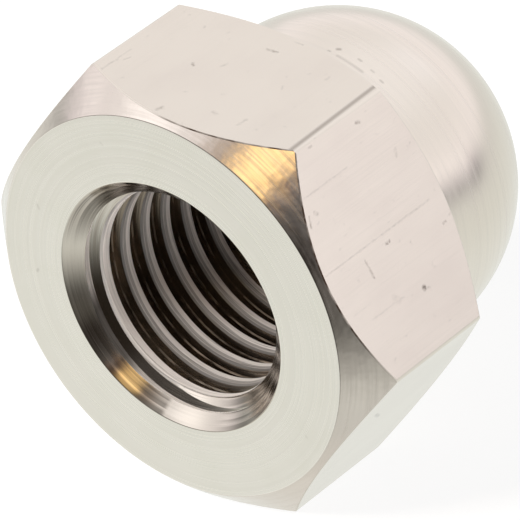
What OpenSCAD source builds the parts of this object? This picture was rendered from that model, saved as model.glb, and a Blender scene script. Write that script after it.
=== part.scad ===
// Cap nut, M10 x 1.25: a hexagon turned from bar, a closed dome, and a blind threaded hole.
// One solid. The nut lies on a flat of its hexagon, with its thread axis along Y.
// The origin is on that axis, where the countersink ends and the threaded wall begins.
// The mouth of the hole faces -Y, the dome faces +Y, and the flat that it rests on faces -Z.

/* [Thread] */
// Nominal diameter of the thread
thread_d = 10; // [6:0.5:12]
// Pitch of the thread, from one turn to the next
pitch = 1.25; // [0.5:0.05:1.75]
// Radial height of the thread that the tapping drill leaves, in pitches
thread_height = 0.48; // [0.4:0.01:0.54]
// How much wider the mouth of the countersink is than the thread
countersink_extra = 0.8; // [0.2:0.1:1.6]
// Full angle of the countersink
countersink_angle = 90; // [80:5:120]
// Full angle of the drill's point at the bottom of the hole
drill_angle = 118; // [100:1:140]

/* [Hexagon] */
// Width of the hexagon across its flats
across_flats = 17; // [15:0.1:24]
// Height of the hexagon, from the bearing face to the foot of the dome
hexagon_h = 8.6; // [6:0.1:12]
// How much narrower the bearing face is than the hexagon across its flats
bearing_step = 0.5; // [0.2:0.1:2]
// Angle of the chamfer on the corners next to the bearing face
bearing_chamfer = 45; // [20:1:50]
// Radius that breaks the rim of the bearing face
rim_r = 0.15; // [0.05:0.05:0.5]
// Angle of the chamfer on the corners next to the dome
shoulder_chamfer = 34; // [15:1:45]

/* [Dome] */
// Height of the whole nut, from the bearing face to the top of the dome
total_h = 17.7; // [14:0.1:24]
// Step from the flats in to the dome, at the dome's foot
shoulder_step = 1.4; // [0.6:0.1:2.5]
// Wall between the point of the drilled hole and the top of the dome
crown_wall = 2; // [1.2:0.1:4]

/* [Hidden] */
$fn = 96;

// Overrun of each cut past the face that it starts from
overrun = 1;

// Hexagon and dome
corner_r = across_flats / 2 / cos(30);
bearing_r = (across_flats - bearing_step) / 2;
dome_r = across_flats / 2 - shoulder_step;
dome_centre = total_h - dome_r;
blank_r = corner_r + overrun;
bearing_chamfer_h = (blank_r - bearing_r) * tan(bearing_chamfer);
shoulder_chamfer_h = (blank_r - dome_r) * tan(shoulder_chamfer);

// The arc that breaks the rim touches the bearing face and the chamfer
rim_tangent = rim_r * tan(bearing_chamfer / 2);
rim_arc_x = bearing_r - rim_tangent;
rim_chamfer_x = bearing_r + rim_tangent * cos(bearing_chamfer);
rim_chamfer_h = rim_tangent * sin(bearing_chamfer);

// Blind hole
bore_r = thread_d / 2 - thread_height * pitch;
mouth_r = (thread_d + countersink_extra) / 2;
countersink_depth = (mouth_r - bore_r) / tan(countersink_angle / 2);
point_h = bore_r / tan(drill_angle / 2);
bore_depth = total_h - crown_wall - point_h;

// Turned outline of the hexagon, from the axis out: bearing face, broken rim, both chamfers
module hexagon_outline() {
    difference() {
        polygon([
            [0, 0],
            [bearing_r, 0],
            [blank_r, bearing_chamfer_h],
            [blank_r, hexagon_h - shoulder_chamfer_h],
            [dome_r, hexagon_h],
            [0, hexagon_h]
        ]);
        difference() {
            polygon([
                [rim_arc_x, 0],
                [rim_arc_x, -overrun],
                [rim_chamfer_x + overrun, -overrun],
                [rim_chamfer_x, rim_chamfer_h]
            ]);
            translate([rim_arc_x, rim_r]) circle(r = rim_r);
        }
    }
}

// Hexagonal bar with both ends turned, so that each flat ends in curved edges
module hexagon() {
    intersection() {
        cylinder(h = hexagon_h, r = corner_r, $fn = 6);
        rotate_extrude() hexagon_outline();
    }
}

// Round neck that ends in a half ball
module dome() {
    cylinder(h = dome_centre, r = dome_r);
    translate([0, 0, dome_centre]) sphere(r = dome_r);
}

// Hole at the tapping drill's size, with a countersunk mouth and the drill's point at the bottom
module blind_hole() {
    rotate_extrude() polygon([
        [0, -overrun],
        [mouth_r + overrun * tan(countersink_angle / 2), -overrun],
        [bore_r, countersink_depth],
        [bore_r, bore_depth],
        [0, bore_depth + point_h]
    ]);
}

// The nut is drawn standing on its bearing face, moved so that the threaded wall starts at the
// origin, and laid on a flat
module cap_nut() {
    color([0.85, 0.83, 0.80])
    rotate([-90, 0, 0])
    translate([0, 0, -countersink_depth])
    difference() {
        union() {
            hexagon();
            dome();
        }
        blind_hole();
    }
}

cap_nut();
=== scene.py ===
# %% [markdown]
# # Cap nut, M10 x 1.25
#
# A cap nut is turned from hexagon bar, tapped from its open end and plated with nickel.
# The CAD model fixes its size and its place. This lesson makes the nut that is looked at: a real
# thread, broken edges, drawn and turned surfaces with their wear, and a small studio around it.

# %% Load the CAD frame
import math

import bpy
from mathutils import Matrix, Vector


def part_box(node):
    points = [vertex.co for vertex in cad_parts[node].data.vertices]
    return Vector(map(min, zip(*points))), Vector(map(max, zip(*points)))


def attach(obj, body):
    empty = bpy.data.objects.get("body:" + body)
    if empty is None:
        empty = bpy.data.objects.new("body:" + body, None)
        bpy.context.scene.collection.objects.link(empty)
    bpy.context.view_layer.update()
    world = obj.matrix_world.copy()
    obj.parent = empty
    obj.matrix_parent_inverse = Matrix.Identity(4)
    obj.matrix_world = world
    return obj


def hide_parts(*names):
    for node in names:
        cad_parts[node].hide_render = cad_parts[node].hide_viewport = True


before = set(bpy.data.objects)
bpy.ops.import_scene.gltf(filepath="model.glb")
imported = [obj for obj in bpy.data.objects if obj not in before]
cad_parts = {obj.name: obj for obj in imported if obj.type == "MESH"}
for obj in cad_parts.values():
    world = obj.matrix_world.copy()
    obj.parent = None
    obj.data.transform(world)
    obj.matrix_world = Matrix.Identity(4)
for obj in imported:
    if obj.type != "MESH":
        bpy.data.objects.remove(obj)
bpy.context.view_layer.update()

# %% [markdown]
# ## Sizes
#
# The thread axis is Y, the mouth of the hole faces -Y and one flat faces up. The outside sizes
# could be typed in again, but taking them from the CAD box keeps the two models the same size.
# The other sizes are the CAD part's. Blender works in metres, so each is a number times MM.

# %% Sizes of the nut
MM = 0.001
LOW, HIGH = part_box("cap_nut")
FACE_Y, TOP_Y = LOW.y, HIGH.y              # bearing face and top of the dome
FLAT_R = HIGH.z                            # axis to the middle of a flat
CORNER_R = HIGH.x                          # axis to a sharp corner
BAR_EDGE = 0.15 * MM                       # width of the worn edge between two flats
FACE_R = 8.25 * MM                         # flat part of the bearing face
RIM_R = 0.08 * MM                          # rounding between that face and its chamfer
NECK_R = 7.1 * MM                          # dome, and the neck under it
NECK_Y = 7.6 * MM                          # where the hexagon's back chamfer meets the neck
BACK_ANGLE = math.radians(34)
BORE_R = 4.4 * MM
MOUTH_R = 5.4 * MM
BORE_END_Y = 12.056 * MM
DRILL_HALF_ANGLE = math.radians(59)
PITCH = 1.25 * MM
THREAD_R = 5.05 * MM
TURN_STEPS = 288                           # facets in a full turn
print("total length", round((TOP_Y - FACE_Y) / MM, 2), "mm, across flats", round(2 * FLAT_R / MM, 2), "mm")

# %% [markdown]
# ## The turned blank
#
# On the lathe one outline makes the whole outside, and the drill and the countersink make the hole.
# A cylinder, a cone and a sphere joined by Booleans could give the same solid, but their seams would
# show in the metal. One string of points and one spin makes every rim and the dome a true circle.
# The string starts as a single vertex and grows by extruding that vertex from point to point.

# %% Helpers for strings of points
def deselect_all():
    if bpy.context.object and bpy.context.object.mode != "OBJECT":
        bpy.ops.object.mode_set(mode="OBJECT")
    bpy.ops.object.select_all(action="DESELECT")


def pick(piece):
    """Selects only that piece and makes it active."""
    deselect_all()
    bpy.context.view_layer.objects.active = piece
    piece.select_set(True)


def string_of_points(name, points):
    """A new object whose mesh is one open string through points, all still selected in edit mode."""
    deselect_all()
    bpy.ops.mesh.primitive_plane_add(size=MM, location=(0, 0, 0))
    piece = bpy.context.object
    piece.name = name
    bpy.ops.object.mode_set(mode="EDIT")
    bpy.ops.mesh.select_mode(type="VERT")
    bpy.ops.mesh.select_all(action="SELECT")
    bpy.ops.mesh.merge(type="CENTER")
    bpy.ops.transform.translate(value=points[0])
    for before, after in zip(points, points[1:]):
        bpy.ops.mesh.extrude_region_move(TRANSFORM_OT_translate={"value": Vector(after) - Vector(before)})
    bpy.ops.mesh.select_all(action="SELECT")
    return piece


# %% Helpers for round parts of an outline
def arc(centre, radius, start, end, steps):
    """Points (radius from the axis, place along it) on an arc; angles in degrees from the radial direction."""
    turns = [math.radians(start + (end - start) * i / steps) for i in range(steps + 1)]
    return [(centre[0] + radius * math.cos(t), centre[1] + radius * math.sin(t)) for t in turns]


def round_corner(before, corner, after, radius, steps):
    """The arc of that radius that replaces a sharp corner between two straight lines."""
    before, corner, after = Vector(before), Vector(corner), Vector(after)
    to_before, to_after = (before - corner).normalized(), (after - corner).normalized()
    half = to_before.angle(to_after) / 2
    centre = corner + (to_before + to_after).normalized() * radius / math.sin(half)
    start = corner + to_before * radius / math.tan(half) - centre
    end = corner + to_after * radius / math.tan(half) - centre
    sweep = start.angle_signed(end)
    return [tuple(centre + Matrix.Rotation(-sweep * i / steps, 2) @ start) for i in range(steps + 1)]


# %% The outline of the blank
BLANK_R = math.hypot(FLAT_R, math.sqrt(CORNER_R ** 2 - FLAT_R ** 2) - BAR_EDGE / 2)
front_chamfer_end = (BLANK_R, FACE_Y + BLANK_R - FACE_R)
back_chamfer_start = (BLANK_R, NECK_Y - (BLANK_R - NECK_R) * math.tan(BACK_ANGLE))
drill_tip = (0, BORE_END_Y + BORE_R / math.tan(DRILL_HALF_ANGLE))
mouth, rim, neck = (MOUTH_R, FACE_Y), (FACE_R, FACE_Y), (NECK_R, NECK_Y)
wall_start, wall_end = (BORE_R, FACE_Y + MOUTH_R - BORE_R), (BORE_R, BORE_END_Y)
outline = [drill_tip, wall_end]
outline += round_corner(wall_end, wall_start, mouth, 0.2 * MM, 4)
outline += round_corner(wall_start, mouth, rim, 0.08 * MM, 4)
outline += round_corner(mouth, rim, front_chamfer_end, RIM_R, 5)
outline += [front_chamfer_end, back_chamfer_start]
outline += round_corner(back_chamfer_start, neck, (NECK_R, NECK_Y + MM), 0.12 * MM, 3)
outline += arc((0, TOP_Y - NECK_R), NECK_R, 0, 90, 40)
outline[-1] = (0, TOP_Y)
nut = string_of_points("cap_nut_plated", [(r, y, 0) for r, y in outline])
print("outline of", len(outline), "points; blank radius", round(BLANK_R / MM, 3), "mm")

# %% Spin the outline round the axis
bpy.ops.mesh.spin(steps=TURN_STEPS, angle=2 * math.pi, center=(0, 0, 0), axis=(0, 1, 0))
bpy.ops.mesh.select_all(action="SELECT")
bpy.ops.mesh.remove_doubles(threshold=0.001 * MM)
bpy.ops.mesh.normals_make_consistent(inside=False)
bpy.ops.object.mode_set(mode="OBJECT")
print("turned blank:", len(nut.data.vertices), "vertices,", len(nut.data.polygons), "faces")

# %% [markdown]
# ## The six flats
#
# The real blank is hexagon bar from the start. A hexagon could be crossed with the turned shape by
# a Boolean, but six plane cuts are simpler and exact: each clears what lies outside its plane and
# fills the opening, and the chamfers leave their curved edges on the flats by themselves.

# %% Cut the flats
FLAT_NORMALS = [Vector((math.cos(a), 0, math.sin(a))) for a in (math.radians(30 + 60 * k) for k in range(6))]
bpy.ops.object.mode_set(mode="EDIT")
for normal in FLAT_NORMALS:
    bpy.ops.mesh.select_all(action="SELECT")
    bpy.ops.mesh.bisect(plane_co=normal * FLAT_R, plane_no=normal, use_fill=True, clear_outer=True,
                        threshold=0.0005 * MM)
bpy.ops.object.mode_set(mode="OBJECT")


def is_flat(face, within=0.002 * MM):
    """True for a face that lies in one of the six planes."""
    return any(abs(face.center.dot(n) - FLAT_R) < within and face.normal.dot(n) > 0.999 for n in FLAT_NORMALS)


print("flats:", sum(is_flat(f) for f in nut.data.polygons), "faces, of", len(nut.data.polygons))

# %% [markdown]
# ## Broken edges
#
# No edge of a plated nut is sharp: tumbling and plating leave it a few hundredths of a millimetre
# round, and that thin line is what catches the light. A Bevel modifier would need every sharp edge
# weighted, so the borders of the flats are selected here and bevelled once.

# %% Bevel round the flats
def select_faces(piece, chosen):
    """Goes to edit mode with only the faces for which chosen(face) is true selected."""
    pick(piece)
    bpy.ops.object.mode_set(mode="EDIT")
    bpy.ops.mesh.select_mode(type="FACE")
    bpy.ops.mesh.select_all(action="DESELECT")
    bpy.ops.object.mode_set(mode="OBJECT")
    for face in piece.data.polygons:
        face.select = chosen(face)
    bpy.ops.object.mode_set(mode="EDIT")


select_faces(nut, is_flat)
bpy.ops.mesh.region_to_loop()
bpy.ops.mesh.bevel(offset=0.045 * MM, segments=3, profile=0.5, affect="EDGES", clamp_overlap=True)
bpy.ops.object.mode_set(mode="OBJECT")
print("after the bevel:", len(nut.data.polygons), "faces")

# %% [markdown]
# ## The tap
#
# A tap cuts one groove that winds up the hole. A stack of rings would look much the same, but it
# has no start and no run-out. So the tap is made and taken away from the nut, as in the workshop.
# Its tooth is one closed outline, a little longer than the groove is deep so that the cut is clean.
# The tooth leaves the crest's edge that faces the mouth rounded, as it is on the real nut.

# %% Sizes of the tooth
TOOTH_ROOT = 0.16 * MM                     # flat at the bottom of the groove
CREST = 0.40 * MM                          # what is left of the wall between two turns, before rounding
GROOVE_Y_AT_228 = 0.945 * MM               # centre of a groove at 228 degrees from +X towards +Z
THREAD_END_Y = 10.9 * MM
DULL_R = 4.77 * MM                         # where a thin dull line runs along the flanks
BELOW = 0.25 * MM                          # how far inside the wall the tooth starts
EDGE_R = 0.26 * MM                         # rounding of the crest's edge that faces the mouth
SHIFT = 0.03 * MM                          # the flank that faces the mouth stands that much nearer to it
half_wide = (PITCH - CREST) / 2
slope = (half_wide - TOOTH_ROOT / 2) / (THREAD_R - BORE_R)
steep, shallow = math.pi / 2 - math.atan(slope), math.radians(15)
edge_r = BORE_R + EDGE_R * math.cos(shallow)
edge_y = (TOOTH_ROOT / 2 - SHIFT + slope * (THREAD_R - edge_r + EDGE_R * math.cos(steep))
          + EDGE_R * math.sin(steep))
print("flank angle", round(math.degrees(math.atan(slope)), 1), "degrees, depth",
      round((THREAD_R - BORE_R) / MM, 2), "mm")

# %% Draw the tooth
tooth = [
    (BORE_R - BELOW, -half_wide - slope * BELOW),
    (BORE_R, -half_wide),
    (THREAD_R - 0.06 * MM, -TOOTH_ROOT / 2 - slope * 0.06 * MM),
    (THREAD_R - 0.015 * MM, -TOOTH_ROOT / 2),
    (THREAD_R, -TOOTH_ROOT / 6),
    (THREAD_R, TOOTH_ROOT / 6),
    (THREAD_R - 0.015 * MM, TOOTH_ROOT / 2 - SHIFT),
    (THREAD_R - 0.06 * MM, TOOTH_ROOT / 2 - SHIFT + slope * 0.06 * MM),
]
edge_turns = [steep + (shallow - steep) * i / 5 for i in range(6)]
tooth += [(edge_r - EDGE_R * math.cos(t), edge_y - EDGE_R * math.sin(t)) for t in edge_turns]
tooth += [(BORE_R - BELOW, tooth[-1][1])]
start_y = GROOVE_Y_AT_228 + PITCH * 228 / 360 - 3 * PITCH
tap = string_of_points("tap", [(r, start_y + y, 0) for r, y in tooth])
bpy.ops.mesh.edge_face_add()
bpy.ops.object.mode_set(mode="OBJECT")
print("tooth of", len(tooth), "points")

# %% Wind the tooth round the axis
TURNS = 12
screw = tap.modifiers.new("wind", "SCREW")
screw.axis = "Y"
screw.angle = 2 * math.pi
screw.screw_offset = PITCH
screw.iterations = TURNS
screw.steps = screw.render_steps = TURN_STEPS // 2
screw.use_merge_vertices = True
screw.merge_threshold = 0.0001 * MM
bpy.ops.object.modifier_apply(modifier="wind")
print("coil of", TURNS, "turns:", len(tap.data.polygons), "faces")

# %% Close the two ends of the coil
pick(tap)
bpy.ops.object.mode_set(mode="EDIT")
bpy.ops.mesh.select_mode(type="EDGE")
bpy.ops.mesh.select_all(action="DESELECT")
bpy.ops.mesh.select_non_manifold()
bpy.ops.mesh.fill_holes(sides=0)
bpy.ops.mesh.select_all(action="SELECT")
bpy.ops.mesh.normals_make_consistent(inside=False)
bpy.ops.object.mode_set(mode="OBJECT")
print("closed coil:", len(tap.data.polygons), "faces")

# %% [markdown]
# ## The tap's taper
#
# A tap is tapered at its nose, so the last turns fade out above the bottom of the hole, and the
# countersink takes most of the first turn away. Scaling the coil's ends could do both, but it would
# also bend the pitch. Keeping only what lies inside a round envelope leaves the pitch alone.

# %% The envelope of the tap
NOSE_LONG = 2.6 * MM
FULL_Y = 0.6 * MM                          # from here on the thread has its full depth
SHALLOW_R = 4.86 * MM                      # depth of the groove in the countersink
nose_y = THREAD_END_Y - NOSE_LONG
deselect_all()
bpy.ops.mesh.primitive_cylinder_add(vertices=TURN_STEPS // 2, radius=THREAD_R + 0.2 * MM, depth=nose_y - FULL_Y,
                                    location=(0, (nose_y + FULL_Y) / 2, 0), rotation=(math.pi / 2, 0, 0))
envelope = bpy.context.object
envelope.name = "tap_envelope"
bpy.ops.object.transform_apply(location=True, rotation=True, scale=True)
select_faces(envelope, lambda face: face.normal.y < -0.9)
bpy.ops.mesh.extrude_region_move(TRANSFORM_OT_translate={"value": (0, -FULL_Y, 0)})
narrow = SHALLOW_R / (THREAD_R + 0.2 * MM)
bpy.ops.transform.resize(value=(narrow, 1, narrow), center_override=(0, 0, 0))
bpy.ops.mesh.extrude_region_move(TRANSFORM_OT_translate={"value": (0, -4 * MM, 0)})
select_faces(envelope, lambda face: face.normal.y > 0.9)
bpy.ops.mesh.extrude_region_move(TRANSFORM_OT_translate={"value": (0, NOSE_LONG, 0)})
shrink = (BORE_R - BELOW) / (THREAD_R + 0.2 * MM)
bpy.ops.transform.resize(value=(shrink, 1, shrink), center_override=(0, THREAD_END_Y, 0))
bpy.ops.object.mode_set(mode="OBJECT")
print("envelope:", len(envelope.data.polygons), "faces")

# %% Keep what lies inside the envelope
def boolean(piece, other, operation):
    """Applies an exact Boolean to piece and removes the other solid."""
    pick(piece)
    cut = piece.modifiers.new("cut", "BOOLEAN")
    cut.operation, cut.object, cut.solver = operation, other, "EXACT"
    bpy.ops.object.modifier_apply(modifier="cut")
    bpy.data.objects.remove(other)


boolean(tap, envelope, "INTERSECT")
print("tapered coil:", len(tap.data.polygons), "faces")

# %% Cut the thread
boolean(nut, tap, "DIFFERENCE")
bpy.ops.object.mode_set(mode="EDIT")
bpy.ops.mesh.select_mode(type="VERT")
bpy.ops.mesh.select_all(action="SELECT")
# A Boolean gives its vertices in a new order each time, and which of them merge depends on the order.
# Sorting them by their distance from one odd point, where few tie, makes every run merge the same ones.
bpy.context.scene.cursor.location = (1.37 * MM, 2.91 * MM, 0.73 * MM)
bpy.ops.mesh.sort_elements(type="CURSOR_DISTANCE", elements={"VERT", "EDGE", "FACE"})
bpy.ops.mesh.remove_doubles(threshold=0.0005 * MM)
bpy.ops.mesh.delete_loose()
bpy.ops.mesh.select_all(action="SELECT")
bpy.ops.mesh.normals_make_consistent(inside=False)
bpy.ops.object.mode_set(mode="OBJECT")
print("threaded nut:", len(nut.data.polygons), "faces")

# %% [markdown]
# ## Which surface is which
#
# Each surface was made by its own tool: the bar was drawn, the ends were turned, the hole was
# drilled, countersunk and tapped. Each looks different under the same plating. A mask could be
# painted, but where a face lies and the way it points already say which tool made it.

# %% Name the surface of a face
def hole_surface(y, r, inwards, along):
    """The surface of a face in the hole; inwards and along are its normal towards the axis and along Y."""
    off_cone = abs(r - max(BORE_R, BORE_R - y))
    if y < 0.02 * MM and off_cone < (0.006 * MM if y < -0.1 * MM else 0.02 * MM) and -0.78 < along < -0.3:
        return "countersunk"
    near_wall = r < BORE_R + 0.2 * MM
    on_crest = near_wall if y > 0.55 * MM else r < SHALLOW_R + 0.3 * MM
    if y > BORE_END_Y or (on_crest and inwards > (0.62 if near_wall else 0.9)):
        return "drilled"
    return "tapped"


def surface_of(face):
    """The name of the surface that a face belongs to."""
    x, y, z = face.center
    r = math.hypot(x, z)
    inwards = -(face.normal.x * x + face.normal.z * z) / max(r, 1e-9)
    along = face.normal.y
    if inwards > 0 and r < MOUTH_R + 0.12 * MM and along > -0.999 and y < BORE_END_Y + 3 * MM:
        return hole_surface(y, r, inwards, along)
    if along < -0.999:
        return "faced"
    if y < NECK_Y and r > FACE_R + 0.02 * MM and abs(along) < 0.1:
        return "drawn"
    if along < -0.1 and y < 2 * MM:
        return "edge_painted_dark" if r > FACE_R + 0.2 * MM and along > -0.66 else "chamfered"
    return "domed"


SURFACES = ["drawn", "faced", "chamfered", "edge_painted_dark", "domed", "countersunk", "tapped", "drilled"]
names = [surface_of(face) for face in nut.data.polygons]
print("faces by surface:", {name: names.count(name) for name in SURFACES})

# %% [markdown]
# ## Smooth shading
#
# Round surfaces shade smoothly, and edges sharper than 28 degrees stay crisp. The tap's cut stays
# crisp too where it runs out at a small angle. Weighted normals then let the big faces decide how a
# shared edge is shaded, so that the flats stay flat right up to their bevels.

# %% Shade the nut
select_faces(nut, lambda face: surface_of(face) == "tapped")
bpy.ops.mesh.region_to_loop()
bpy.ops.mesh.mark_sharp()
pick(nut)
bpy.ops.object.shade_smooth_by_angle(angle=math.radians(28))
print("sharp edges:", sum(edge.use_edge_sharp for edge in nut.data.edges), "of", len(nut.data.edges))


# %% Let the big faces decide
def resize(piece, times):
    """Makes the piece that many times larger about the origin."""
    pick(piece)
    bpy.ops.transform.resize(value=(times, times, times), center_override=(0, 0, 0))
    bpy.ops.object.transform_apply(location=True, rotation=True, scale=True)


# The modifier takes faces of a few square millimetres as nothing, so the nut is large while it works.
resize(nut, 1000)
weighted = nut.modifiers.new("even_normals", "WEIGHTED_NORMAL")
weighted.keep_sharp = True
weighted.weight = 50
bpy.ops.object.modifier_apply(modifier="even_normals")
resize(nut, 0.001)
print("nut is", round(max(nut.dimensions) / MM, 2), "mm across its corners")

# %% [markdown]
# ## How the finishes are built
#
# Every finish is bright nickel that one tool left its marks in, so each material is metal whose
# colour, roughness and relief come from patterns. Pictures of real metal could be wrapped round the
# nut, but patterns worked out at each point need no unwrapping and stay sharp at any size.
# Two small helpers do the wiring: one sets a node's inputs, the other adds a node.

# %% Helpers for nodes
def set_inputs(tree, node, inputs):
    """Sets inputs by name or number. A value may be a constant, an output, or a node for its first output."""
    for socket, value in inputs.items():
        if isinstance(value, bpy.types.Node):
            value = next(output for output in value.outputs if output.enabled)
        if isinstance(value, bpy.types.NodeSocket):
            tree.links.new(value, node.inputs[socket])
        else:
            node.inputs[socket].default_value = value


def add_node(tree, kind, inputs=None, **settings):
    """One new node with its settings and links."""
    node = tree.nodes.new(kind)
    for name, value in settings.items():
        setattr(node, name, value)
    set_inputs(tree, node, inputs or {})
    return node


def linear(hex_colour):
    """An sRGB hex colour as the linear RGBA that shader sockets take."""
    parts = [int(hex_colour[i:i + 2], 16) / 255 for i in (1, 3, 5)]
    return tuple(c / 12.92 if c <= 0.04045 else ((c + 0.055) / 1.055) ** 2.4 for c in parts) + (1,)


def new_material(name):
    """A material with nodes: itself, its tree, its shader, and the place on the nut in metres."""
    material = bpy.data.materials.new(name)
    material.use_nodes = True
    tree = material.node_tree
    place = add_node(tree, "ShaderNodeTexCoord").outputs["Object"]
    return material, tree, tree.nodes["Principled BSDF"], place


print("nickel #E4DBD0 is linear", [round(c, 3) for c in linear("#E4DBD0")[:3]])


# %% Helpers for tool marks
def grain(tree, place, sizes, detail=2.0, rough=0.5, start=(0, 0, 0)):
    """Noise between 0 and 1 whose grain has these sizes in mm along x, y and z."""
    scale = tuple(1 / (size * MM) for size in sizes)
    spread = add_node(tree, "ShaderNodeVectorMath", {0: place, 1: scale, 2: start}, operation="MULTIPLY_ADD")
    return add_node(tree, "ShaderNodeTexNoise", {"Vector": spread, "Scale": 1, "Detail": detail, "Roughness": rough})


def from_axis(tree, place):
    """Three nodes: the place flattened on to the plane across the axis, its direction, and its radius."""
    flat = add_node(tree, "ShaderNodeVectorMath", {0: place, 1: (1, 0, 1)}, operation="MULTIPLY")
    unit = add_node(tree, "ShaderNodeVectorMath", {0: flat}, operation="NORMALIZE")
    return flat, unit, add_node(tree, "ShaderNodeVectorMath", {0: flat}, operation="LENGTH")


MARK_R = 8 * MM                            # turned marks keep one length round at every radius


def round_and_along(tree, place, lean):
    """Places for turned marks in metres: round a circle of MARK_R, and along the outline.

    lean is how far the outline leans: 0 along the axis, 1 across it."""
    y = add_node(tree, "ShaderNodeSeparateXYZ", {0: place}).outputs["Y"]
    flat, unit, radius = from_axis(tree, place)
    ring = add_node(tree, "ShaderNodeVectorMath", {0: unit, 1: (MARK_R, 0, MARK_R)}, operation="MULTIPLY")
    along = add_node(tree, "ShaderNodeMath", {0: y, 1: math.sqrt(1 - lean * lean)}, operation="MULTIPLY")
    both = add_node(tree, "ShaderNodeMath", {0: radius, 1: lean, 2: along}, operation="MULTIPLY_ADD")
    step = add_node(tree, "ShaderNodeCombineXYZ", {"Y": both})
    return add_node(tree, "ShaderNodeVectorMath", {0: ring, 1: step}, operation="ADD")


def towards(tree, place, degrees):
    """1 on the side of the nut at that angle from +X towards +Z, -1 on the other side."""
    side = (math.cos(math.radians(degrees)), 0, math.sin(math.radians(degrees)))
    unit = from_axis(tree, place)[1]
    return add_node(tree, "ShaderNodeVectorMath", {0: unit, 1: side}, operation="DOT_PRODUCT")


def marks(tree, place, table):
    """0 on clean metal and up to 1 on marks; the table has start and end, half width in mm, and strength."""
    total = None
    for start, end, half_width, strength in table:
        a, b = Vector(start) * MM, Vector(end) * MM
        run = b - a if (b - a).length > 1e-7 else Vector((1e-5, 0, 0))
        share = add_node(tree, "ShaderNodeVectorMath", {0: place, 1: run}, operation="DOT_PRODUCT")
        share = add_node(tree, "ShaderNodeMapRange", {0: share, 1: a.dot(run), 2: a.dot(run) + run.length_squared})
        nearest = add_node(tree, "ShaderNodeVectorMath", {0: run, 1: share, 2: a}, operation="MULTIPLY_ADD")
        away = add_node(tree, "ShaderNodeVectorMath", {0: place, 1: nearest}, operation="DISTANCE")
        near, far = half_width * 0.1 * MM, half_width * 1.5 * MM
        here = add_node(tree, "ShaderNodeMapRange", {0: away, 1: near, 2: far, 3: strength, 4: 0},
                        interpolation_type="SMOOTHSTEP")
        total = add_node(tree, "ShaderNodeMath", {0: total, 1: here}, operation="MAXIMUM") if total else here
    return total


def patched(tree, colour, pattern, start, full, most, over):
    """The colour with a second one over it, from none where the pattern is at start to most where it is at full."""
    amount = add_node(tree, "ShaderNodeMapRange", {0: pattern, 1: start, 2: full, 4: most})
    return add_node(tree, "ShaderNodeMix", {0: amount, 6: colour, 7: linear(over)}, data_type="RGBA")


NICKEL = "#E4DBD0"
PIT_AND_SHADE = "#6E655C"
print("helpers for marks are ready; the nickel is", NICKEL)

# %% [markdown]
# ## Drawn nickel on the flats
#
# The flats are cold-drawn steel bar under bright nickel. Drawing leaves faint lines along the bar,
# and handling leaves pits and short scratches. A noise stretched along Y gives the lines. The pits
# could be modelled, but they are only hundredths of a millimetre deep, so darker spots at their
# places do the same. To the eye: a soft satin mirror, a little warm, with small dark marks.

# %% Where the flats are marked
FLAT_MARKS = [
    ((8.63, 3.75, 2.05), (8.63, 3.75, 2.05), 0.12, 0.95),
    ((8.66, 3.93, 1.99), (8.70, 4.05, 1.93), 0.05, 0.25),
    ((5.18, 4.14, 8.02), (5.16, 3.97, 8.06), 0.08, 0.55),
    ((7.46, 2.88, 4.08), (7.46, 3.05, 4.08), 0.08, 0.50),
    ((7.86, 1.60, 3.38), (7.48, 1.54, 4.05), 0.06, 0.34),
    ((6.12, 0.19, 6.41), (6.17, 0.28, 6.32), 0.09, 0.28),
    ((6.33, -0.30, 6.03), (6.12, -0.16, 6.39), 0.05, 0.35),
    ((7.82, 6.02, 3.46), (7.82, 6.16, 3.46), 0.07, 0.28),
    ((5.02, 1.22, 8.31), (5.02, 1.40, 8.31), 0.05, 0.24),
    ((6.05, 5.27, 6.53), (6.16, 5.18, 6.33), 0.09, 0.16),
    ((8.41, 2.12, 2.43), (8.52, 2.30, 2.24), 0.15, 0.10),
    ((7.26, -0.60, 4.42), (7.26, 5.80, 4.42), 0.045, 0.16),
    ((5.77, 0.00, 7.00), (5.77, 2.60, 7.00), 0.045, 0.14),
    ((8.52, 0.70, 2.24), (8.52, 2.60, 2.24), 0.05, 0.10),
    ((8.23, -0.10, 2.75), (8.23, 0.90, 2.75), 0.05, 0.05),
    ((-0.20, 5.37, 8.5), (0.20, 5.43, 8.5), 0.08, 0.40),
    ((-1.86, 2.87, 8.5), (-1.74, 2.75, 8.5), 0.07, 0.40),
    ((-0.95, -0.42, 8.5), (-0.87, -0.22, 8.5), 0.11, 0.30),
    ((-4.35, 0.45, 8.5), (-4.31, 1.30, 8.5), 0.06, 0.16),
    ((-4.34, 1.42, 8.5), (-4.33, 2.15, 8.5), 0.05, 0.12),
    ((-4.08, 1.45, 8.5), (-4.00, 1.75, 8.5), 0.05, 0.14),
    ((2.13, 0.60, 8.5), (2.15, 1.10, 8.5), 0.08, 0.14),
    ((0.84, 0.75, 8.5), (1.03, 0.68, 8.5), 0.10, 0.16),
    ((-0.87, 3.36, 8.5), (-0.79, 3.64, 8.5), 0.06, 0.20),
    ((0.33, 6.42, 8.5), (0.69, 6.44, 8.5), 0.05, 0.16),
    ((2.87, 5.08, 8.5), (2.87, 5.28, 8.5), 0.06, 0.12),
    ((1.93, 3.54, 8.5), (1.85, 3.74, 8.5), 0.06, 0.12),
    ((8.36, 1.09, -2.52), (8.00, 1.75, -3.14), 0.10, 0.42),
]
# A dark line is painted beside one edge of the bar: painted shade next to that edge.
EDGE_SHADE_LINE = [((4.74, 0.15, 8.5), (4.60, 5.90, 8.5), 0.11, 0.50)]
print("marks on the flats:", len(FLAT_MARKS))

# %% Drawn nickel
drawn, tree, shader, place = new_material("nickel_drawn_flats")
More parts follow.
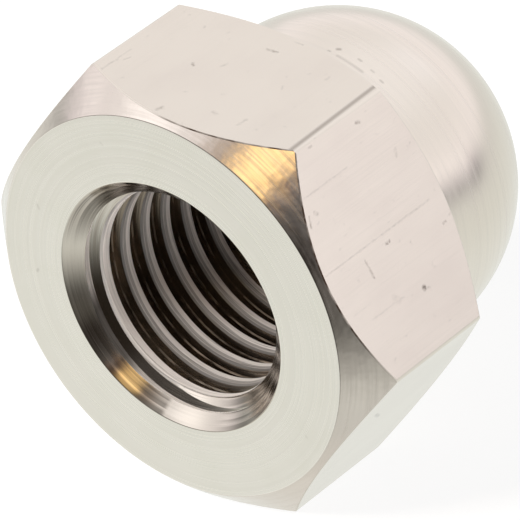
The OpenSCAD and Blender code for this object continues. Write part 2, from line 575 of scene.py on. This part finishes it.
# Small noise in the place makes the outlines of the pits ragged, and a second one breaks them up.
ragged = add_node(tree, "ShaderNodeTexNoise", {"Vector": place, "Scale": 1 / (0.12 * MM), "Detail": 1})
shift = add_node(tree, "ShaderNodeVectorMath", {0: ragged.outputs["Color"], 1: (0.1 * MM,) * 3, 2: (-0.05 * MM,) * 3},
                 operation="MULTIPLY_ADD")
uneven = add_node(tree, "ShaderNodeVectorMath", {0: place, 1: shift}, operation="ADD").outputs[0]
marks_and_shade = marks(tree, uneven, FLAT_MARKS)
broken = add_node(tree, "ShaderNodeTexNoise", {"Vector": place, "Scale": 1 / (0.16 * MM), "Detail": 3})
broken = add_node(tree, "ShaderNodeMapRange", {0: broken, 1: 0.38, 2: 0.62, 3: 0.35, 4: 1.15})
marks_and_shade = add_node(tree, "ShaderNodeMath", {0: marks_and_shade, 1: broken}, operation="MULTIPLY")
# Painted shade: the dark line beside the bar's edge joins the pits here.
marks_and_shade = add_node(tree, "ShaderNodeMath", {0: marks_and_shade, 1: marks(tree, place, EDGE_SHADE_LINE)}, operation="MAXIMUM")
# Drawing lines are usually a few hundredths of a millimetre wide, which is a usual size and not a
# measured one. These are coarser, 0.07 mm, so that they can be seen at all.
lines = grain(tree, place, (0.07, 6, 0.07))
cloud = grain(tree, place, (1.6, 3.2, 1.6), start=(3, 1, 5))
fleck = grain(tree, place, (0.25, 0.35, 0.25), start=(7, 3, 4))
print(drawn.name, "has", len(tree.nodes), "nodes before its colours")

# %% Colour and relief of the drawn nickel
colour = patched(tree, linear(NICKEL), lines, 0.45, 0.75, 0.2, "#DDD4C8")
colour = patched(tree, colour, cloud, 0.45, 0.8, 0.5, "#DDD3C9")
colour = patched(tree, colour, fleck, 0.66, 0.82, 0.5, "#C9C0B6")
colour = add_node(tree, "ShaderNodeMix", {0: marks_and_shade, 6: colour, 7: linear(PIT_AND_SHADE)}, data_type="RGBA")
rough = add_node(tree, "ShaderNodeMapRange", {0: lines, 1: 0.3, 2: 0.7, 3: 0.22, 4: 0.25})
relief = add_node(tree, "ShaderNodeBump", {"Height": lines, "Distance": 0.00016 * MM})
relief = add_node(tree, "ShaderNodeBump", {"Height": cloud, "Distance": 0.004 * MM, "Normal": relief})
set_inputs(tree, shader, {"Base Color": colour, "Roughness": rough, "Normal": relief, "Metallic": 1})
print(drawn.name, "has", len(tree.nodes), "nodes")

# %% [markdown]
# ## Faced nickel on the bearing face
#
# The bearing face was faced on the lathe, so its tool marks are fine rings. Anisotropic shading is
# the usual way to show rings that are too fine to see, but it also smears what a flat face
# reflects. Rings of relief at a tenth of a millimetre keep it even.
# To the eye: a plain pale satin ring, almost without marks.

# %% Faced nickel
faced, tree, shader, place = new_material("nickel_faced_ring")
turned = round_and_along(tree, place, 1)
# Fine feed marks are usually a little under a tenth of a millimetre apart, a usual size and not a
# measured one. These are 0.09 mm.
rings = grain(tree, turned, (25, 0.09, 25))
cloud = grain(tree, place, (1.4, 1.4, 1.4), start=(1, 7, 3))
marks_and_shade = marks(tree, place, [
    ((-6.63, -1, -1.05), (-6.68, -1, -1.15), 0.07, 0.20),
    ((-6.50, -1, 1.90), (-6.58, -1, 2.04), 0.07, 0.14),
    ((-3.30, -1, 6.30), (-3.20, -1, 6.24), 0.06, 0.10),
    ((6.60, -1, -3.10), (6.66, -1, -3.16), 0.06, 0.10),
])
colour = patched(tree, linear(NICKEL), cloud, 0.4, 0.75, 0.5, "#DFD7CA")
colour = add_node(tree, "ShaderNodeMix", {0: marks_and_shade, 6: colour, 7: linear(PIT_AND_SHADE)}, data_type="RGBA")
rough = add_node(tree, "ShaderNodeMapRange", {0: rings, 1: 0.3, 2: 0.7, 3: 0.26, 4: 0.31})
relief = add_node(tree, "ShaderNodeBump", {"Height": rings, "Distance": 0.00006 * MM})
relief = add_node(tree, "ShaderNodeBump", {"Height": cloud, "Distance": 0.002 * MM, "Normal": relief})
set_inputs(tree, shader, {"Base Color": colour, "Roughness": rough, "Normal": relief, "Metallic": 1})
print(faced.name, "has", len(tree.nodes), "nodes")

# %% [markdown]
# ## Turned nickel on the front chamfer
#
# The chamfer was turned, and it is the most mirror-like outside surface. Streaks run round it,
# probably where the tool tore a little before the plating.
# A flat mirror would show the studio too cleanly: soft waves and small dents in its relief break
# the reflections up, as they do on the real chamfer. To the eye: sharp bright and dark streaks.

# %% Turned nickel
chamfered, tree, shader, place = new_material("nickel_turned_chamfer")
turned = round_and_along(tree, place, math.sqrt(0.5))
streaks = grain(tree, turned, (3.5, 0.13, 3.5), detail=3, rough=0.6)
waves = grain(tree, turned, (6, 0.30, 6), start=(2, 5, 1))
dents = grain(tree, place, (0.8, 0.8, 0.8), start=(5, 5, 8))
# The streaks are strong on one side, and the rest of the chamfer is nearly smooth.
torn = add_node(tree, "ShaderNodeMapRange", {0: towards(tree, place, 50), 1: 0.70, 2: 0.95, 3: 0.25, 4: 1},
                interpolation_type="SMOOTHSTEP")
amount = add_node(tree, "ShaderNodeMapRange", {0: streaks, 1: 0.45, 2: 0.72, 4: 0.4})
amount = add_node(tree, "ShaderNodeMath", {0: amount, 1: torn}, operation="MULTIPLY")
colour = add_node(tree, "ShaderNodeMix", {0: amount, 6: linear("#EAE0D6"), 7: linear("#CFC4B8")}, data_type="RGBA")
rough = add_node(tree, "ShaderNodeMapRange", {0: streaks, 1: 0.35, 2: 0.7, 3: 0.12, 4: 0.28})
relief = add_node(tree, "ShaderNodeBump", {"Height": waves, "Strength": torn, "Distance": 0.004 * MM})
relief = add_node(tree, "ShaderNodeBump", {"Height": streaks, "Strength": torn, "Distance": 0.0013 * MM,
                                           "Normal": relief})
relief = add_node(tree, "ShaderNodeBump", {"Height": dents, "Distance": 0.016 * MM, "Normal": relief})
set_inputs(tree, shader, {"Base Color": colour, "Roughness": rough, "Normal": relief, "Metallic": 1})
print(chamfered.name, "has", len(tree.nodes), "nodes")

# %% [markdown]
# ## Nickel painted dark on the chamfer's edges
#
# Where the chamfer meets the flats the edge is painted brown on the side that faces the tent's dark
# opening: a painted dark reflection. It could be a wider bevel with a dark colour, but the bevel is
# already there, so only its faces get this finish. To the eye: a thin broken brown line.

# %% Nickel painted dark on the edges
edge_painted_dark, tree, shader, place = new_material("nickel_worn_edge")
painted_dark = grain(tree, place, (0.6, 0.6, 0.6), detail=3, start=(2, 8, 4))
painted_dark = add_node(tree, "ShaderNodeMapRange", {0: painted_dark, 1: 0.3, 2: 0.6, 3: 0.4, 4: 1})
# Painted dark reflection: brown on the side that faces the tent's dark opening, broken up by noise.
side = add_node(tree, "ShaderNodeMapRange", {0: towards(tree, place, 50), 1: 0.66, 2: 0.82},
                interpolation_type="SMOOTHSTEP")
painted_dark = add_node(tree, "ShaderNodeMath", {0: painted_dark, 1: side}, operation="MULTIPLY")
colour = add_node(tree, "ShaderNodeMix", {0: painted_dark, 6: linear(NICKEL), 7: linear("#55453A")}, data_type="RGBA")
set_inputs(tree, shader, {"Base Color": colour, "Roughness": 0.38, "Metallic": 1})
print(edge_painted_dark.name, "has", len(tree.nodes), "nodes")

# %% [markdown]
# ## Satin-turned nickel on the dome
#
# The dome, its neck and the back chamfer were turned with a fine feed, so rings run round the axis.
# The dome could be one smooth mirror, but a real one is slightly uneven, which softens what it
# reflects. To the eye: satin nickel with long soft highlights and a few nicks.

# %% Satin-turned nickel
domed, tree, shader, place = new_material("nickel_turned_dome")
turned = round_and_along(tree, place, 0)
rings = grain(tree, turned, (14, 0.14, 14))
cloud = grain(tree, place, (2.2, 2.2, 2.2), start=(4, 2, 6))
marks_and_shade = marks(tree, place, [
    ((0.85, 8.41, 7.04), (2.05, 8.41, 6.80), 0.08, 0.22),
    ((0.60, 8.75, 7.07), (0.66, 8.80, 7.06), 0.09, 0.45),
    ((1.55, 8.86, 6.93), (1.66, 8.86, 6.90), 0.07, 0.25),
    ((2.76, 8.66, 6.54), (2.86, 8.66, 6.50), 0.07, 0.25),
    ((0.38, 8.44, 7.09), (0.46, 8.44, 7.08), 0.06, 0.25),
    ((2.22, 8.77, 6.74), (2.34, 8.77, 6.70), 0.06, 0.2),
])
colour = patched(tree, linear(NICKEL), rings, 0.45, 0.75, 0.5, "#DDD5CB")
colour = add_node(tree, "ShaderNodeMix", {0: marks_and_shade, 6: colour, 7: linear(PIT_AND_SHADE)}, data_type="RGBA")
rough = add_node(tree, "ShaderNodeMapRange", {0: rings, 1: 0.3, 2: 0.7, 3: 0.20, 4: 0.28})
relief = add_node(tree, "ShaderNodeBump", {"Height": rings, "Distance": 0.0006 * MM})
relief = add_node(tree, "ShaderNodeBump", {"Height": cloud, "Distance": 0.010 * MM, "Normal": relief})
set_inputs(tree, shader, {"Base Color": colour, "Roughness": rough, "Normal": relief, "Metallic": 1})
print(domed.name, "has", len(tree.nodes), "nodes")

# %% [markdown]
# ## Countersunk nickel at the mouth
#
# The countersink is covered in rings of uneven depth. On three sides it is painted darker in broken
# rings; on the upper left that is painted shade, the shadow under the nut that the metal would
# reflect from the paper. The rings could be cut into the mesh, but at a tenth of a millimetre relief
# is enough. To the eye: a bright mirror cut by dark smooth arcs.

# %% Countersunk nickel
countersunk, tree, shader, place = new_material("nickel_countersunk")
turned = round_and_along(tree, place, -math.sqrt(0.5))
rings = grain(tree, turned, (14, 0.09, 14), rough=0.6)
bands = grain(tree, turned, (16, 0.26, 16), detail=1, start=(6, 3, 2))
long_rings = grain(tree, turned, (22, 0.16, 22), rough=0.6, start=(4, 9, 2))
# Painted shade: broken dark rings on three sides; the upper-left one stands in for the shadow under the nut.
dark = None
for angle, start, strength in ((128, 0.68, 0.75), (323, 0.84, 0.60), (249, 0.955, 0.70)):
    here = add_node(tree, "ShaderNodeMapRange", {0: towards(tree, place, angle), 1: start, 2: 0.97, 4: strength},
                    interpolation_type="SMOOTHSTEP")
    dark = add_node(tree, "ShaderNodeMath", {0: dark, 1: here}, operation="MAXIMUM") if dark else here
broken = add_node(tree, "ShaderNodeMapRange", {0: long_rings, 1: 0.40, 2: 0.56, 3: 0.25, 4: 1})
dark = add_node(tree, "ShaderNodeMath", {0: dark, 1: broken}, operation="MULTIPLY")
print("dark rings on three sides of", countersunk.name)

# %% Colour and relief of the countersink
colour = patched(tree, linear("#E2D9CD"), rings, 0.58, 0.72, 0.7, "#8E867B")
colour = add_node(tree, "ShaderNodeMix", {0: dark, 6: colour, 7: linear("#5F5A52")}, data_type="RGBA")
rough = add_node(tree, "ShaderNodeMapRange", {0: rings, 1: 0.35, 2: 0.7, 3: 0.10, 4: 0.24})
relief = add_node(tree, "ShaderNodeBump", {"Height": bands, "Distance": 0.012 * MM})
relief = add_node(tree, "ShaderNodeBump", {"Height": rings, "Distance": 0.002 * MM, "Normal": relief})
set_inputs(tree, shader, {"Base Color": colour, "Roughness": rough, "Normal": relief, "Metallic": 1})
print(countersunk.name, "has", len(tree.nodes), "nodes")

# %% [markdown]
# ## Tapped nickel in the groove
#
# Plating reaches badly into a deep thread, so the groove is bright at the mouth and gets dull and
# brown further in. The flanks could simply be darker metal, but they are dark mainly because they
# reflect the dark hole, so most of the metal's brightness is kept. A thin dull line runs along the
# flanks at part of their depth; what made it is not known. To the eye: near black, with long thin glints.

# %% Tapped nickel
tapped, tree, shader, place = new_material("nickel_tapped_thread")
turned = round_and_along(tree, place, -0.8)
lines = grain(tree, turned, (5, 0.05, 5), detail=3)
depth = add_node(tree, "ShaderNodeSeparateXYZ", {0: place}).outputs["Y"]
deep = add_node(tree, "ShaderNodeMapRange", {0: depth, 1: 0.2 * MM, 2: 1.2 * MM})
amount = add_node(tree, "ShaderNodeMapRange", {0: lines, 1: 0.4, 2: 0.7})
bright = add_node(tree, "ShaderNodeMix", {0: amount, 6: linear("#E8E0D4"), 7: linear("#BDB1A2")}, data_type="RGBA")
dull = add_node(tree, "ShaderNodeMix", {0: amount, 6: linear("#A99B8B"), 7: linear("#6E6155")}, data_type="RGBA")
colour = add_node(tree, "ShaderNodeMix", {0: deep, 6: bright, 7: dull}, data_type="RGBA")
radius = from_axis(tree, place)[2]
ledge = add_node(tree, "ShaderNodeMath", {0: radius, 1: DULL_R, 2: 0.035 * MM}, operation="COMPARE")
patchy = grain(tree, turned, (1.5, 0.5, 1.5), start=(8, 1, 3))
patchy = add_node(tree, "ShaderNodeMapRange", {0: patchy, 1: 0.4, 2: 0.7, 3: 0.1, 4: 0.9})
line = add_node(tree, "ShaderNodeMath", {0: ledge, 1: patchy}, operation="MULTIPLY")
line = add_node(tree, "ShaderNodeMath", {0: line, 1: deep}, operation="MULTIPLY")
metal = add_node(tree, "ShaderNodeMapRange", {0: line, 3: 1, 4: 0.2})
rough = add_node(tree, "ShaderNodeMapRange", {0: lines, 1: 0.35, 2: 0.7, 3: 0.10, 4: 0.24})
relief = add_node(tree, "ShaderNodeBump", {"Height": lines, "Distance": 0.003 * MM})
set_inputs(tree, shader, {"Base Color": colour, "Roughness": rough, "Normal": relief, "Metallic": metal})
print(tapped.name, "has", len(tree.nodes), "nodes")

# %% [markdown]
# ## Drilled wall on the crests
#
# Between the turns of the groove, what is left of the drilled wall is pale and matt, probably because
# plating grows rough there. It scatters light where the flanks mirror it, so it is mostly not
# metallic. Fine lines wind along each crest, a little uneven. They could follow the height alone,
# but then they would cross the crests, so they follow the thread's own winding instead.
# To the eye: pale grey bands with thin dark lines, which end in a rounded edge with painted shade.

# %% Lines that wind with the thread
drilled, tree, shader, place = new_material("nickel_drilled_wall")
parts = add_node(tree, "ShaderNodeSeparateXYZ", {0: place})
angle = add_node(tree, "ShaderNodeMath", {0: parts.outputs["Z"], 1: parts.outputs["X"]}, operation="ARCTAN2")
turn = add_node(tree, "ShaderNodeMath", {0: angle, 1: 0.5 / math.pi, 2: -228 / 360 - GROOVE_Y_AT_228 / PITCH},
                operation="MULTIPLY_ADD")
wound = add_node(tree, "ShaderNodeMath", {0: parts.outputs["Y"], 1: 1 / PITCH, 2: turn}, operation="MULTIPLY_ADD")
turned = round_and_along(tree, place, 0)
sway = add_node(tree, "ShaderNodeMapRange", {0: grain(tree, turned, (3, 0.6, 3)), 3: -0.04, 4: 0.04})
wound = add_node(tree, "ShaderNodeMath", {0: wound, 1: sway}, operation="ADD")
phase = add_node(tree, "ShaderNodeMath", {0: wound}, operation="FRACT")
crest = add_node(tree, "ShaderNodeValToRGB", {"Fac": phase})
CREST_LINES = [(0.33, 0.34), (0.36, 0.64), (0.39, 0.24), (0.42, 0.62), (0.445, 0.22), (0.475, 0.76), (0.51, 0.85),
               (0.64, 0.80), (0.67, 0.7)]
while len(crest.color_ramp.elements) < len(CREST_LINES):
    crest.color_ramp.elements.new(0.5)
for element, (position, level) in zip(crest.color_ramp.elements, CREST_LINES):
    element.position = position
    element.color = (level, level, level, 1)
print("levels across a crest:", len(CREST_LINES))

# %% How bright each part of the wall is
# The lines that wind belong to the thread: they start under the countersink and end with its last turn.
begun = add_node(tree, "ShaderNodeMapRange", {0: parts.outputs["Y"], 1: 0.6 * MM, 2: 1.2 * MM})
left = add_node(tree, "ShaderNodeMapRange", {0: parts.outputs["Y"], 1: THREAD_END_Y - 1 * MM, 2: THREAD_END_Y,
                                             3: 1, 4: 0})
threaded = add_node(tree, "ShaderNodeMath", {0: begun, 1: left}, operation="MULTIPLY")
# Past the thread the plain wall and the drill's point are duller.
plain = add_node(tree, "ShaderNodeMapRange", {0: left, 3: 0.5, 4: 1})
bright = add_node(tree, "ShaderNodeMix", {0: threaded, 2: plain, 3: crest}, data_type="FLOAT")
lines = grain(tree, turned, (7, 0.05, 7), detail=3)
fine = add_node(tree, "ShaderNodeMapRange", {0: lines, 1: 0.5, 2: 0.72, 3: 1, 4: 0.45})
bright = add_node(tree, "ShaderNodeMath", {0: bright, 1: fine}, operation="MULTIPLY")
# The rounded edge is painted darker towards the groove: painted shade.
radius = from_axis(tree, place)[2]
edge = add_node(tree, "ShaderNodeMapRange", {0: radius, 1: 4.402 * MM, 2: 4.425 * MM, 3: 1, 4: 0.48})
bend = add_node(tree, "ShaderNodeMapRange", {0: radius, 1: 4.425 * MM, 2: 4.55 * MM, 3: 1, 4: 0.3})
edge = add_node(tree, "ShaderNodeMath", {0: edge, 1: bend}, operation="MULTIPLY")
# Where the first turn runs out in the countersink, most of that painted shade is taken off again, but one side keeps
# it.
run_out = add_node(tree, "ShaderNodeMapRange", {0: towards(tree, place, 221), 1: 0.90, 2: 0.985, 3: 0.8, 4: 0.12},
                   interpolation_type="SMOOTHSTEP")
outer = add_node(tree, "ShaderNodeMapRange", {0: radius, 1: 4.66 * MM, 2: 4.76 * MM})
run_out = add_node(tree, "ShaderNodeMath", {0: outer, 1: run_out}, operation="MULTIPLY")
edge = add_node(tree, "ShaderNodeMath", {0: edge, 1: run_out}, operation="MAXIMUM")
bright = add_node(tree, "ShaderNodeMath", {0: bright, 1: edge}, operation="MULTIPLY")
colour = add_node(tree, "ShaderNodeMix", {0: bright, 6: linear("#2A2622"), 7: linear("#F5EDE6")}, data_type="RGBA")
relief = add_node(tree, "ShaderNodeBump", {"Height": lines, "Distance": 0.0012 * MM})
set_inputs(tree, shader, {"Base Color": colour, "Roughness": 0.35, "Normal": relief, "Metallic": 0.15})
print(drilled.name, "has", len(tree.nodes), "nodes")

# %% [markdown]
# ## Give each surface its finish
#
# All the finishes are on one piece, because the real nut is one piece. Splitting it by finish would
# open gaps at the borders; a material slot for each finish and a number on each face do not.

# %% Assign the finishes
FINISHES = [drawn, faced, chamfered, edge_painted_dark, domed, countersunk, tapped, drilled]
nut.data.materials.clear()
for material in FINISHES:
    nut.data.materials.append(material)
for face in nut.data.polygons:
    face.material_index = SURFACES.index(surface_of(face))
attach(nut, "root")
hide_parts("cap_nut")
print(nut.name, "has", len(nut.data.materials), "finishes and",
      sum(len(face.vertices) - 2 for face in nut.data.polygons), "triangles")

# %% [markdown]
# ## The paper floor
#
# The nut lies on plain white. Bright lamps would make paper white but would burn out the metal
# first, so the paper glows a little by itself for the camera only, and the lamps add the shadow.
# The metal doesn't see the paper: it sees the lower half of the tent, which is painted as paper.

# %% Paper floor
deselect_all()
bpy.ops.mesh.primitive_plane_add(size=3, location=(0, 0, LOW.z))
floor = bpy.context.object
floor.name = "floor"
paper = bpy.data.materials.new("white_paper")
paper.use_nodes = True
tree = paper.node_tree
shader = tree.nodes["Principled BSDF"]
seen_directly = add_node(tree, "ShaderNodeLightPath").outputs["Is Camera Ray"]
colour = add_node(tree, "ShaderNodeMix", {0: seen_directly, 6: (0.8, 0.8, 0.8, 1), 7: (0.25, 0.25, 0.25, 1)},
                  data_type="RGBA")
set_inputs(tree, shader, {"Base Color": colour, "Roughness": 0.9})
glow = add_node(tree, "ShaderNodeMapRange", {0: seen_directly, 4: 0.86})
glow = add_node(tree, "ShaderNodeEmission", {"Color": (1, 1, 1, 1), "Strength": glow})
whole = add_node(tree, "ShaderNodeAddShader", {0: shader, 1: glow})
set_inputs(tree, tree.nodes["Material Output"], {"Surface": whole})
floor.data.materials.append(paper)
floor.visible_glossy = False
print("floor at z", round(LOW.z / MM, 2), "mm")

# %% [markdown]
# ## The light tent
#
# Metal shows what stands around it, so the tent matters more than the lamps. It could be built of
# planes, but the world can hold it whole: a ramp by height for the cloth, soft ellipses for its
# brighter and darker panels, a dark opening in front, and a warm lamp that glows in the opening.
# That opening is what makes the chamfers dark and gold on one side.

# %% Directions and soft ellipses in the tent
def direction(azimuth, elevation):
    """Unit vector from the nut towards a place round it: azimuth 0 is in front of the mouth, 90 on the +X side."""
    a, e = math.radians(azimuth), math.radians(elevation)
    return Vector((math.sin(a) * math.cos(e), -math.cos(a) * math.cos(e), math.sin(e)))


def zone(tree, seen, azimuth, elevation, half_width, half_height, start, end, roll=0):
    """1 inside an ellipse of the tent and 0 outside it. Half sizes are sines of angles."""
    ahead = direction(azimuth, elevation)
    level = Vector((math.cos(math.radians(azimuth)), math.sin(math.radians(azimuth)), 0))
    rise = ahead.cross(level)
    rise = rise if rise.z > 0 else -rise
    c, s = math.cos(math.radians(roll)), math.sin(math.radians(roll))
    across, up = level * c + rise * s, rise * c - level * s
    sideways = add_node(tree, "ShaderNodeVectorMath", {0: seen, 1: across / half_width}, operation="DOT_PRODUCT")
    upwards = add_node(tree, "ShaderNodeVectorMath", {0: seen, 1: up / half_height}, operation="DOT_PRODUCT")
    forwards = add_node(tree, "ShaderNodeVectorMath", {0: seen, 1: ahead}, operation="DOT_PRODUCT")
    behind = add_node(tree, "ShaderNodeMapRange", {0: forwards, 1: -0.2, 2: 0, 3: 5, 4: 0})
    point = add_node(tree, "ShaderNodeCombineXYZ", {"X": sideways, "Y": upwards, "Z": behind})
    away = add_node(tree, "ShaderNodeVectorMath", {0: point}, operation="LENGTH")
    return add_node(tree, "ShaderNodeMapRange", {0: away, 1: start, 2: end, 3: 1, 4: 0},
                    interpolation_type="SMOOTHSTEP")


print("straight up is", [round(v, 2) for v in direction(0, 90)])

# %% The cloth of the tent
world = bpy.data.worlds.new("light_tent")
bpy.context.scene.world = world
world.use_nodes = True
tree = world.node_tree
seen = add_node(tree, "ShaderNodeTexCoord").outputs["Generated"]
height = add_node(tree, "ShaderNodeSeparateXYZ", {0: seen}).outputs["Z"]
height = add_node(tree, "ShaderNodeMapRange", {0: height, 1: -1, 2: 1})
cloth = add_node(tree, "ShaderNodeValToRGB", {"Fac": height})
ramp = cloth.color_ramp
ramp.interpolation = "EASE"
# Elevation in degrees and the light that comes from there, as red, green and blue.
TENT = [
    (-90, (0.79, 0.80, 0.77)),
    (-45, (0.92, 0.96, 0.94)),
    (-18, (0.86, 0.89, 0.86)),
    (-3, (0.80, 0.81, 0.80)),
    (7, (1.11, 1.08, 1.11)),
    (33, (1.00, 0.99, 1.00)),
    (50, (1.10, 1.10, 1.13)),
    (90, (1.08, 1.06, 1.04)),
]
while len(ramp.elements) < len(TENT):
    ramp.elements.new(0.5)
for element, (degrees, colour) in zip(ramp.elements, TENT):
    element.position = (math.sin(math.radians(degrees)) + 1) / 2
    element.color = (*[c / 2 for c in colour], 1)
light = add_node(tree, "ShaderNodeVectorMath", {0: cloth, 1: (2, 2, 2)}, operation="MULTIPLY")
print("cloth with", len(TENT), "levels of light")

# %% Panels, opening and warm lamp
# Softly brighter or darker panels: azimuth, elevation, half sizes, light added.
PANELS = [
    (-50, 37, 0.44, 0.44, (0.76, 0.75, 0.77)),
    (-42, -38, 0.55, 0.40, (0.28, 0.33, 0.35)),
    (180, 32, 0.40, 0.25, (0.14, 0.15, 0.19)),
    (137, 1, 0.34, 0.18, (-0.50, -0.51, -0.48)),
    (124, 11, 0.22, 0.18, (0.36, 0.36, 0.36)),
    (-84, 2, 0.32, 0.28, (-0.34, -0.34, -0.34)),
    (-145, -20, 0.30, 0.20, (0.06, 0.07, 0.07)),
    (45, -31, 0.30, 0.47, (0.46, 0.46, 0.43)),
]
for azimuth, elevation, half_width, half_height, added in PANELS:
    panel = zone(tree, seen, azimuth, elevation, half_width, half_height, 0.1, 1)
    light = add_node(tree, "ShaderNodeVectorMath", {0: added, 1: panel, 2: light}, operation="MULTIPLY_ADD")
# The opening is two dark ellipses: azimuth, elevation, half sizes, start and end of the edge, roll.
for shape in ((-33.0, 8.5, 0.497, 0.105, 0.141, 2.28, 20.7), (18.2, 3.7, 1.427, 1.629, 0.218, 0.757, 54.1)):
    dark = zone(tree, seen, *shape)
    light = add_node(tree, "ShaderNodeMix", {0: dark, 6: light, 7: linear("#26211C")}, data_type="RGBA")
# The lamp in it, the glow round the lamp, and three corrections at the opening's edges.
GLOWS = [
    (8, 42, 0.20, 0.20, 0.50, (1.40, 0.93, 0.31)),
    (13, 36, 0.23, 0.25, 0.1, (0.15, 0.06, 0.02)),
    (-8, 46, 0.24, 0.22, 0.2, (-0.04, -0.11, -0.17)),
    (-24, 42, 0.18, 0.18, 0.1, (0.26, 0.23, 0.21)),
    (44, 0, 0.22, 0.28, 0.1, (0.055, 0.055, 0.05)),
]
for azimuth, elevation, half_width, half_height, start, added in GLOWS:
    warm = zone(tree, seen, azimuth, elevation, half_width, half_height, start, 1)
    light = add_node(tree, "ShaderNodeVectorMath", {0: added, 1: warm, 2: light}, operation="MULTIPLY_ADD")
print("tent with", len(PANELS), "panels and", len(GLOWS), "glows")

# %% What matt surfaces and the camera see
rays = add_node(tree, "ShaderNodeLightPath")
# Matt surfaces take their light from the lamps, so the tent is only a low even fill for them.
light = add_node(tree, "ShaderNodeMix", {0: rays.outputs["Is Diffuse Ray"], 6: light, 7: (0.2, 0.2, 0.2, 1)},
                 data_type="RGBA")
light = add_node(tree, "ShaderNodeMix", {0: rays.outputs["Is Camera Ray"], 6: light, 7: (1, 1, 1, 1)},
                 data_type="RGBA")
set_inputs(tree, tree.nodes["Background"], {"Color": light, "Strength": 1})
print(world.name, "has", len(tree.nodes), "nodes")

# %% [markdown]
# ## The lamps
#
# The lamps light the paper and the matt walls of the hole. They could show in the metal as well,
# but then each would be a second bright spot beside the tent's, so the metal doesn't see them.
# Each is given as the level to which it lights a white surface that faces it: about 1 in all.

# %% Lamps
def lamp(name, place, facing, across, level, colour=(1, 1, 1)):
    """A round soft lamp. A white surface at the nut that faces it is lit to that level."""
    deselect_all()
    bpy.ops.object.light_add(type="AREA", location=place)
    light = bpy.context.object
    light.name = name
    light.rotation_mode = "QUATERNION"
    light.rotation_quaternion = (-Vector(facing)).to_track_quat("Z", "Y")
    light.data.shape = "DISK"
    light.data.size = across
    light.data.color = colour
    lean = max(-Vector(facing).normalized().dot(Vector(place).normalized()), 0.05)
    light.data.energy = level * math.pi ** 2 * Vector(place).length_squared / lean
    light.visible_camera = False
    light.visible_glossy = False
    print(name, "at", [round(v / MM) for v in place], "mm,", round(light.data.energy, 4), "W")


spot = direction(-28, 42) * 0.6
lamp("key_lamp", spot, -spot, 0.24, 1)
spot = direction(-12, 46) * 0.6
lamp("warm_lamp", spot, -spot, 0.08, 0.09, (1, 0.62, 0.30))
# A bright card lies on the paper under the mouth and lights the near side of the hole.
lamp("card", (5 * MM, -20 * MM, LOW.z + 0.2 * MM), (0, 0, 1), 24 * MM, 0.85)

# %% [markdown]
# ## The camera
#
# The camera looks at the mouth from the right and from above, as one looks at a nut in the hand.
# It could be aimed by a constraint, but working its three directions out gives the small roll too.
# A long lens from a quarter of a metre keeps the hexagon almost free of perspective.

# %% Camera
CAMERA_AZ, CAMERA_EL, CAMERA_ROLL = 39.4568, 35.6129, -0.9525
CAMERA_AWAY = 237.66 * MM
FOCAL = 428.14                             # focal length of the lens in mm
AIM_RIGHT, AIM_UP = 0.014554739143, 0.007768133190  # how far the aim is off the face's centre, as slopes
back = direction(CAMERA_AZ, CAMERA_EL)
right = Vector((math.cos(math.radians(CAMERA_AZ)), math.sin(math.radians(CAMERA_AZ)), 0))
up = back.cross(right)
roll = math.radians(CAMERA_ROLL)
right, up = right * math.cos(roll) + up * math.sin(roll), up * math.cos(roll) - right * math.sin(roll)
spot = Vector((0, FACE_Y, 0)) + back * CAMERA_AWAY
aim = (-back + right * AIM_RIGHT + up * AIM_UP).normalized()
right = (right - aim * right.dot(aim)).normalized()
up = right.cross(aim)
deselect_all()
bpy.ops.object.camera_add()
camera = bpy.context.object
camera.matrix_world = Matrix.Translation(spot) @ Matrix((right, up, -aim)).transposed().to_4x4()
camera.data.lens = FOCAL
camera.data.sensor_width = 36
camera.data.clip_start, camera.data.clip_end = 0.001, 10
bpy.context.scene.camera = camera
bpy.context.scene.view_settings.view_transform = "Standard"
print("camera", round(CAMERA_AWAY / MM), "mm from the bearing face")
